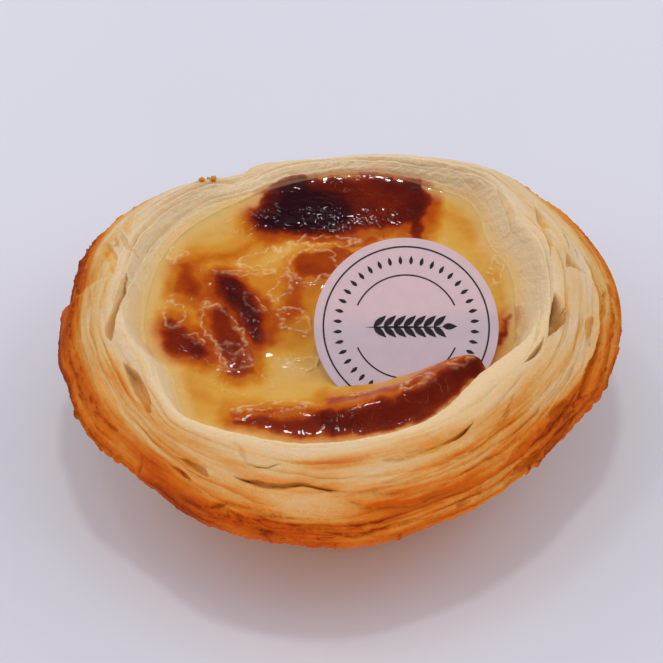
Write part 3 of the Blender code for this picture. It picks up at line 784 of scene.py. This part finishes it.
def make_crumbs():
    """Small uneven specks, sunk a little into the rim."""
    ball = bmesh.new()
    bmesh.ops.create_icosphere(ball, subdivisions=3, radius=1)
    round_points = np.array([vertex.co for vertex in ball.verts])
    round_faces = [[vertex.index for vertex in face.verts] for face in ball.faces]
    ball.free()
    points, faces = [], []
    for number, (azimuth, share, size) in enumerate(CRUMBS):
        theta = math.radians(azimuth)
        radius, height = rim_point(theta, share)
        x, y, z = (round_points * 1.3 + 5.7 * number).T
        lumpy = 1 + 0.5 * noise_a.layered(x, y, z, 2)[:, None]
        middle = [radius * math.cos(theta), radius * math.sin(theta), height + 0.55 * size]
        faces += [[corner + number * len(round_points) for corner in face] for face in round_faces]
        points.append(round_points * lumpy * size + middle)
    count = len(CRUMBS) * len(round_points)
    masks = {"toast": np.full(count, 0.5), "wall": np.zeros(count)}
    return mesh_object("pastry_crumbs", np.concatenate(points), faces, masks)


def make_custard():
    """The custard: its skin as an even grid over the round, and a plain body under it."""
    unit_x, unit_y = square_to_disc(CUSTARD_GRID)
    theta, reach = np.arctan2(unit_y, unit_x), np.hypot(unit_x, unit_y)
    radius = reach * (inner_radius(theta) + 0.15)
    x, y = radius * np.cos(theta), radius * np.sin(theta)
    brown, threads = browning(x, y), skin_threads(x, y)
    skin = np.stack([x, y, custard_height(x, y, brown, threads)], -1).reshape(-1, 3)
    index = np.arange(CUSTARD_GRID ** 2).reshape(CUSTARD_GRID, CUSTARD_GRID)
    quads = np.stack([index[:-1, :-1], index[1:, :-1], index[1:, 1:], index[:-1, 1:]], -1)
    border = np.concatenate([index[:-1, 0], index[-1, :-1], index[:0:-1, -1], index[0, :0:-1]])
    count = len(border)
    turn = theta.ravel()[border]
    below, rings = [], []
    for height in (16.0, 10.0, FLOOR_HEIGHT + CUSTARD_GAP):
        edge = hollow_radius(turn, height) - CUSTARD_GAP
        rings.append(len(skin) + len(below) * count + np.arange(count))
        below.append(np.stack([edge * np.cos(turn), edge * np.sin(turn), np.full(count, height)], -1))
    middle = len(skin) + len(below) * count
    points = np.concatenate([skin] + below + [[[0, 0, FLOOR_HEIGHT + CUSTARD_GAP]]])
    faces = quads.reshape(-1, 4).tolist()
    for upper, lower in zip([border] + rings, rings):
        faces += np.stack([upper, lower, np.roll(lower, -1), np.roll(upper, -1)], -1).tolist()
    faces += np.stack([np.full(count, middle), np.roll(rings[-1], -1), rings[-1]], -1).tolist()
    sides = np.zeros(len(points) - len(skin))
    # The threads are coloured paler: partly the pale edges of the thin skin, partly painted highlight
    # standing in for glints along the ridges; less of it on dark skin.
    threads_pale_and_glinting = threads * (1 - 0.7 * ease(brown, 0.55, 0.8))
    masks = {
        "brown": np.concatenate([brown.ravel(), sides + 0.1]),
        "thread_pale_and_glint": np.concatenate([threads_pale_and_glinting.ravel(), sides]),
        "border": np.concatenate([border_mask(x, y, brown).ravel(), sides]),
    }
    filling = mesh_object("tart_custard", points, faces, masks)
    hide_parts("custard")
    return filling


class Nodes:
    """A short way to write a material's node tree."""

    def __init__(self, name):
        self.material = bpy.data.materials.new(name)
        self.material.use_nodes = True
        self.tree = self.material.node_tree
        self.shader = self.tree.nodes["Principled BSDF"]

    def add(self, kind, settings=None, **inputs):
        node = self.tree.nodes.new("ShaderNode" + kind)
        for key, value in (settings or {}).items():
            setattr(node, key, value)
        for key, value in inputs.items():
            self.plug(node, key, value)
        return node

    def plug(self, node, socket, value):
        target = node.inputs[socket]
        if isinstance(value, bpy.types.NodeSocket):
            self.tree.links.new(value, target)
        else:
            target.default_value = (*value, 1) if target.type == "RGBA" else value

    def mask(self, name):
        return self.add("Attribute", {"attribute_name": name}).outputs["Fac"]

    def maths(self, operation, a, b, clamp=False):
        node = self.add("Math", {"operation": operation, "use_clamp": clamp})
        self.plug(node, 0, a)
        self.plug(node, 1, b)
        return node.outputs[0]

    def ramp(self, value, stops):
        node = self.add("ValToRGB", Fac=value)
        marks = node.color_ramp.elements
        while len(marks) < len(stops):
            marks.new(0.5)
        for mark, (place, colour) in zip(marks, stops):
            mark.position = place
            mark.color = (*colour, 1)
        return node.outputs["Color"]

    def blend(self, factor, a, b):
        node = self.add("Mix", {"data_type": "RGBA"})
        self.plug(node, 0, factor)
        self.plug(node, 6, a)
        self.plug(node, 7, b)
        return node.outputs[2]

    def noise(self, scale, detail):
        place = self.add("TexCoord").outputs["Object"]
        node = self.add("TexNoise", Vector=place, Scale=scale, Detail=detail, Roughness=0.55)
        return node.outputs["Fac"]

    def mottle(self, scale, detail, size):
        """Noise about 0, of a size."""
        return self.maths("MULTIPLY", self.maths("SUBTRACT", self.noise(scale, detail), 0.5), size)

    def scaled_mask(self, name, size):
        """A mask times a size."""
        return self.maths("MULTIPLY", self.mask(name), size)

    def bump(self, height, distance, strength):
        node = self.add("Bump", Height=height, Distance=distance, Strength=strength)
        self.plug(self.shader, "Normal", node.outputs["Normal"])

    def finish(self, **values):
        names = {
            "colour": "Base Color", "roughness": "Roughness", "subsurface": "Subsurface Weight",
            "radius": "Subsurface Radius", "scale": "Subsurface Scale", "coat": "Coat Weight",
            "coat_roughness": "Coat Roughness", "specular": "Specular IOR Level",
        }
        for key, value in values.items():
            self.plug(self.shader, names[key], value)
        return self.material


# Tones from pale to browned, as (how browned, colour).
PASTRY_TONES = [
    (0.0, (0.70, 0.54, 0.37)), (0.22, (0.70, 0.46, 0.20)), (0.42, (0.66, 0.32, 0.075)),
    (0.62, (0.62, 0.18, 0.013)), (0.80, (0.53, 0.10, 0.005)), (1.0, (0.27, 0.035, 0.004)),
]
# Tones of the gaps between leaves: the less browned dough inside, made brighter and more golden than the
# leaves around them as painted glow, standing in for light shining through the thin leaves.
GAP_TONES_WITH_PAINTED_GLOW = [(0.12, (0.82, 0.56, 0.24)), (0.36, (0.88, 0.42, 0.06)), (0.62, (0.66, 0.17, 0.01))]
CUSTARD_TONES = [
    (0.0, (0.70, 0.44, 0.15)), (0.2, (0.68, 0.35, 0.055)), (0.38, (0.60, 0.20, 0.012)),
    (0.52, (0.44, 0.07, 0.003)), (0.68, (0.25, 0.022, 0.003)), (0.82, (0.125, 0.009, 0.004)),
    (1.0, (0.024, 0.004, 0.007)),
]
FILM_TONES = [(0.3, (0.81, 0.51, 0.195))] + CUSTARD_TONES[3:]
FLOUR_TONE = (0.86, 0.67, 0.40)
BORDER_TONE = (0.79, 0.505, 0.195)
# The threads' paler tone: their pale film edges, and painted highlight for their glints.
THREAD_PALE_AND_GLINT_TONE = (1.0, 0.74, 0.42)
PAPER_TONES = [(0.3, (0.58, 0.465, 0.53)), (0.7, (0.62, 0.495, 0.565))]
INK_TONES = [(0.3, (0.012, 0.009, 0.012)), (0.7, (0.03, 0.022, 0.028))]
TABLE_TONES = [(0.3, (0.665, 0.675, 0.77)), (0.7, (0.685, 0.695, 0.79))]


def pastry_material():
    nodes = Nodes("puff_pastry_baked")
    toast = nodes.maths("ADD", nodes.mask("toast"), nodes.mottle(900, 4, 0.2))
    toast = nodes.maths("ADD", toast, nodes.mottle(3200, 2, 0.10), clamp=True)
    floured = nodes.blend(nodes.scaled_mask("flour", 0.65), nodes.ramp(toast, PASTRY_TONES), FLOUR_TONE)
    film = nodes.ramp(nodes.mask("brown"), FILM_TONES)
    filmed = nodes.blend(nodes.scaled_mask("film", 0.85), floured, film)
    # Gaps and slits get a brighter golden colour: partly the paler dough inside, partly painted glow in the
    # recesses.
    with_painted_gap_glow = nodes.blend(nodes.scaled_mask("deep", 0.9), filmed, nodes.ramp(toast, GAP_TONES_WITH_PAINTED_GLOW))
    grain = nodes.maths("ADD", nodes.noise(2600, 4), nodes.maths("MULTIPLY", nodes.noise(700, 3), 1.6))
    nodes.bump(grain, 0.00024, 0.75)
    rough = nodes.maths("SUBTRACT", 0.6, nodes.scaled_mask("film", 0.38))
    return nodes.finish(
        colour=with_painted_gap_glow, roughness=rough, subsurface=0.35, radius=(1.0, 0.45, 0.18), scale=0.0018,
        specular=0.1,
    )


def custard_material():
    nodes = Nodes("custard_baked")
    brown = nodes.maths("ADD", nodes.mask("brown"), nodes.mottle(420, 4, 0.14), clamp=True)
    edged = nodes.blend(nodes.scaled_mask("border", 0.75), nodes.ramp(brown, CUSTARD_TONES), BORDER_TONE)
    # Paler along the threads: pale film edges, and painted highlight for the glints on them.
    colour = nodes.blend(nodes.scaled_mask("thread_pale_and_glint", 0.35), edged, THREAD_PALE_AND_GLINT_TONE)
    nodes.bump(nodes.noise(1500, 3), 0.00008, 0.5)
    return nodes.finish(
        colour=colour, roughness=0.38, subsurface=0.4, radius=(1.0, 0.4, 0.12), scale=0.0016, specular=0.08,
        coat=0.6, coat_roughness=0.06,
    )


def paper_material():
    nodes = Nodes("paper_topper_face")
    colour = nodes.ramp(nodes.noise(500, 3), PAPER_TONES)
    nodes.bump(nodes.noise(4000, 3), 0.00003, 0.4)
    return nodes.finish(colour=colour, roughness=0.5, specular=0.35)


def ink_material():
    nodes = Nodes("topper_ink")
    colour = nodes.ramp(nodes.noise(2500, 2), INK_TONES)
    return nodes.finish(colour=colour, roughness=0.55)


def topper_frame():
    tilt = Matrix.Rotation(math.radians(TOPPER_TILT), 4, "X")
    return Matrix.Translation(Vector(TOPPER_CENTRE) * MM) @ tilt


def make_topper():
    """The paper disc, with a softly rounded cut edge."""
    half = TOPPER_THICKNESS / 2
    profile = [
        (TOPPER_RADIUS - 0.12, -half), (TOPPER_RADIUS, 0.1 - half), (TOPPER_RADIUS, half - 0.1),
        (TOPPER_RADIUS - 0.12, half), (TOPPER_RADIUS - 1, half),
    ]
    theta = np.arange(TOPPER_SEGMENTS) * 2 * math.pi / TOPPER_SEGMENTS
    rings = [np.stack([r * np.cos(theta), r * np.sin(theta), 0 * theta + z], -1) for r, z in profile]
    points = np.concatenate([[[0, 0, -half]]] + rings + [[[0, 0, half]]])
    topper = mesh_object("tart_topper", points, ring_faces(len(rings), TOPPER_SEGMENTS))
    topper.data.transform(topper_frame())
    topper.data.set_sharp_from_angle(angle=math.radians(35))
    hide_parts("paper_topper")
    return topper


def arc(radius, start, end, width, steps):
    """A bent band of even width, as its two sides."""
    angles = np.radians(np.linspace(start, end, steps))
    radii = (radius + width / 2, radius - width / 2)
    return [[(r * math.cos(a), r * math.sin(a)) for a in angles] for r in radii]


def leaf_shape(x, y, length, width, turn, steps=12):
    """A pointed leaf from a place, along a direction, as its two sides."""
    c, s = math.cos(math.radians(turn)), math.sin(math.radians(turn))
    along = np.linspace(0, 1, steps + 1)
    u, bulge = length * along, width / 2 * np.sin(math.pi * along ** 0.8)
    return [list(zip(x + u * c - v * s, y + u * s + v * c)) for v in (bulge, -bulge)]


def print_bands():
    """Every shape of the topper's print, as its two sides."""
    bands = [arc(BORDER_RADIUS, 0, 360, BORDER_WIDTH, 145)]
    for start in STROKE_STARTS:
        bands.append(arc(STROKE_RADIUS, start, start + STROKE_SWEEP, STROKE_WIDTH, 60))
    for i in range(SMALL_LEAVES):
        turn = 360 * (i + 0.5) / SMALL_LEAVES
        middle = math.radians(turn)
        x, y = LEAF_RING_RADIUS * math.cos(middle), LEAF_RING_RADIUS * math.sin(middle)
        bands.append(leaf_shape(x, y, *SMALL_LEAF, turn))
    bands.append(leaf_shape(*STALK, 0))
    for i in range(EAR_ROWS):
        for side in (1, -1):
            bands.append(leaf_shape(EAR_START + EAR_STEP * i, 0, *EAR_LEAF, side * EAR_SPREAD))
    bands.append(leaf_shape(*EAR_TIP, 0))
    return bands


def make_print():
    """The print as thin shapes just over the paper."""
    bm = bmesh.new()
    height = (TOPPER_THICKNESS / 2 + PRINT_LIFT) * MM
    for sides in print_bands():
        left, right = [[bm.verts.new((x * MM, y * MM, height)) for x, y in side] for side in sides]
        for i in range(len(left) - 1):
            bm.faces.new([right[i], right[i + 1], left[i + 1], left[i]])
    bmesh.ops.remove_doubles(bm, verts=bm.verts, dist=2e-6)
    bmesh.ops.dissolve_degenerate(bm, dist=1e-7, edges=bm.edges)
    for face in bm.faces:
        face.normal_update()
    bmesh.ops.recalc_face_normals(bm, faces=bm.faces)
    bm.transform(topper_frame())
    mesh = bpy.data.meshes.new("topper_print")
    bm.to_mesh(mesh)
    bm.free()
    ink = add_object("topper_print", mesh)
    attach(ink, "root")
    return ink


def wear(obj, material):
    obj.data.materials.clear()
    obj.data.materials.append(material)


def make_floor():
    mesh = bpy.data.meshes.new("table_top")
    half = TABLE_SIDE / 2
    corners = [(-half, -half, 0), (half, -half, 0), (half, half, 0), (-half, half, 0)]
    mesh.from_pydata(corners, [], [(0, 1, 2, 3)])
    floor = add_object("table_top", mesh)
    nodes = Nodes("table_paper")
    tone = nodes.ramp(nodes.noise(6, 2), TABLE_TONES)
    wear(floor, nodes.finish(colour=tone, roughness=0.6, specular=0.2))


def area_light(name, x, y, z, size, power, colour):
    """A round soft light."""
    light = bpy.data.lights.new(name, "AREA")
    light.shape = "DISK"
    light.size = size
    light.energy = power
    light.color = colour
    lamp = add_object(name, light)
    lamp.location = (x, y, z)
    lamp.rotation_euler = (Vector(LIGHT_TARGET) - lamp.location).to_track_quat("-Z", "Y").to_euler()
    return lamp


def make_lights():
    """The lights and the sky; only the small glint lights are mirrored in the custard's skin."""
    world = bpy.data.worlds.new("studio")
    world.use_nodes = True
    sky = world.node_tree.nodes["Background"].inputs
    sky["Color"].default_value = (*WORLD_COLOUR, 1)
    sky["Strength"].default_value = WORLD_STRENGTH
    world.cycles_visibility.glossy = False
    bpy.context.scene.world = world
    for light in GLINTS:
        area_light(*light)
    for light in SOFTBOXES:
        area_light(*light).visible_glossy = False


def make_camera():
    """Looks along +Y and down, as the photograph does."""
    elevation = math.radians(CAMERA_ELEVATION)
    back = Vector((0, -math.cos(elevation), math.sin(elevation)))
    data = bpy.data.cameras.new("camera")
    data.sensor_width = 36
    data.lens = CAMERA_LENS
    data.clip_start = 0.01
    camera = add_object("camera", data)
    camera.location = (Vector(CAMERA_TARGET) + CAMERA_DISTANCE * back) * MM
    camera.rotation_euler = (math.pi / 2 - elevation, 0, 0)
    bpy.context.scene.camera = camera


def main():
    scene = bpy.context.scene
    scene.view_settings.view_transform = "Standard"
    make_camera()
    make_lights()
    make_floor()
    shell = make_shell()
    custard = make_custard()
    crumbs = make_crumbs()
    topper = make_topper()
    ink = make_print()
    pastry = pastry_material()
    wear(shell, pastry)
    wear(crumbs, pastry)
    wear(custard, custard_material())
    wear(topper, paper_material())
    wear(ink, ink_material())


main()
